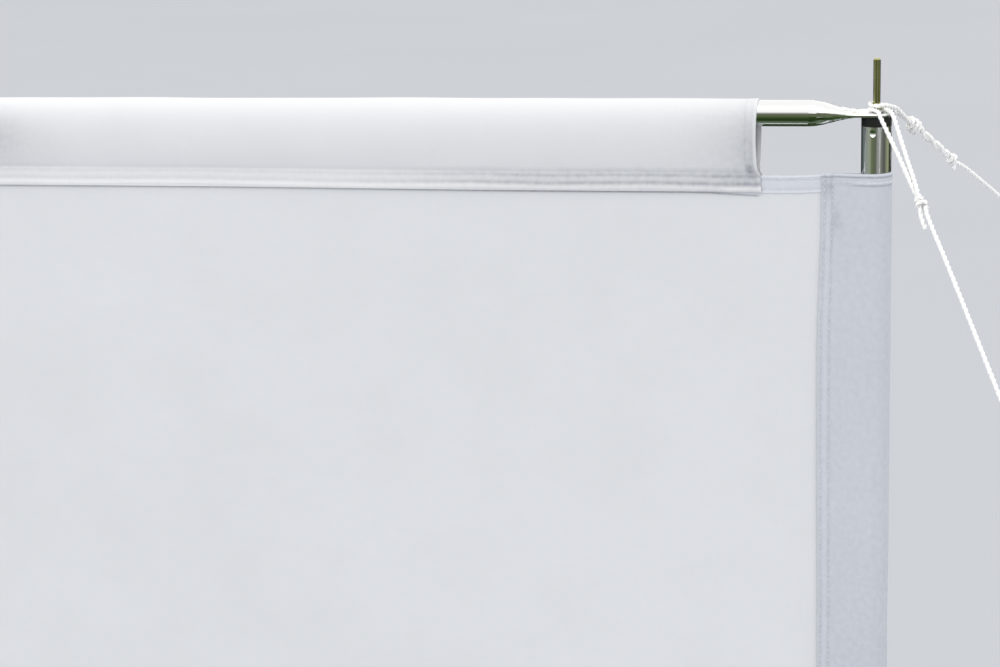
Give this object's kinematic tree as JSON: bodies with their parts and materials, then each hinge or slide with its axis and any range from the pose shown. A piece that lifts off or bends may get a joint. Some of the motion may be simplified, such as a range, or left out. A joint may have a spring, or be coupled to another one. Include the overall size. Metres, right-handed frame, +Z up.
{
  "type": "beach windbreak",
  "caption": "Pegged cloth windbreak: bays between steel uprights, flattened-end top rails over spikes, sewn sleeves, twisted guy ropes with sliders and pegs.",
  "frame": {"origin": "On the ground at the centre of the right-hand end upright's foot, the one whose top the picture shows.", "axes": "+X along the row of bays to its right-hand end as the picture shows it, +Y to the back, away from the camera, +Z up."},
  "size_m": [7.1508, 2.9545, 1.436],
  "materials": {
    "polished_steel": "polished",
    "plated_spike": "satin",
    "black_plastic": "matte",
    "panel_cloth": "woven",
    "sleeve_cloth": "woven",
    "pole_sleeve_cloth": "woven",
    "white_rope": "twisted",
    "slider_plastic": "matte",
    "peg_steel": "galvanised",
    "webbing": "woven",
    "eyelet_brass": "rolled"
  },
  "bodies": {
    "root": {"upright_1": "polished_steel", "top_plug_1": "black_plastic", "top_spike_1": "plated_spike", "foot_1": "black_plastic", "guy_rope_1_front": "white_rope", "guy_rope_1_back": "white_rope", "pole_sleeve_1": "pole_sleeve_cloth", "upright_2": "polished_steel", "top_plug_2": "black_plastic", "top_spike_2": "plated_spike", "foot_2": "black_plastic", "guy_rope_2_front": "white_rope", "guy_rope_2_back": "white_rope", "pole_sleeve_2": "pole_sleeve_cloth", "upright_3": "polished_steel", "top_plug_3": "black_plastic", "top_spike_3": "plated_spike", "foot_3": "black_plastic", "guy_rope_3_front": "white_rope", "guy_rope_3_back": "white_rope", "pole_sleeve_3": "pole_sleeve_cloth", "upright_4": "polished_steel", "top_plug_4": "black_plastic", "top_spike_4": "plated_spike", "foot_4": "black_plastic", "guy_rope_4_front": "white_rope", "guy_rope_4_back": "white_rope", "pole_sleeve_4": "pole_sleeve_cloth", "top_rail_1": "polished_steel", "rail_sleeve_1": "sleeve_cloth", "panel_1": "panel_cloth", "top_rail_2": "polished_steel", "rail_sleeve_2": "sleeve_cloth", "panel_2": "panel_cloth", "top_rail_3": "polished_steel", "rail_sleeve_3": "sleeve_cloth", "panel_3": "panel_cloth", "guy_sliders": "slider_plastic", "guy_pegs": "peg_steel", "hem_tabs": "webbing", "hem_eyelets": "eyelet_brass", "hem_pegs": "peg_steel"}
  },
  "joints": []
}
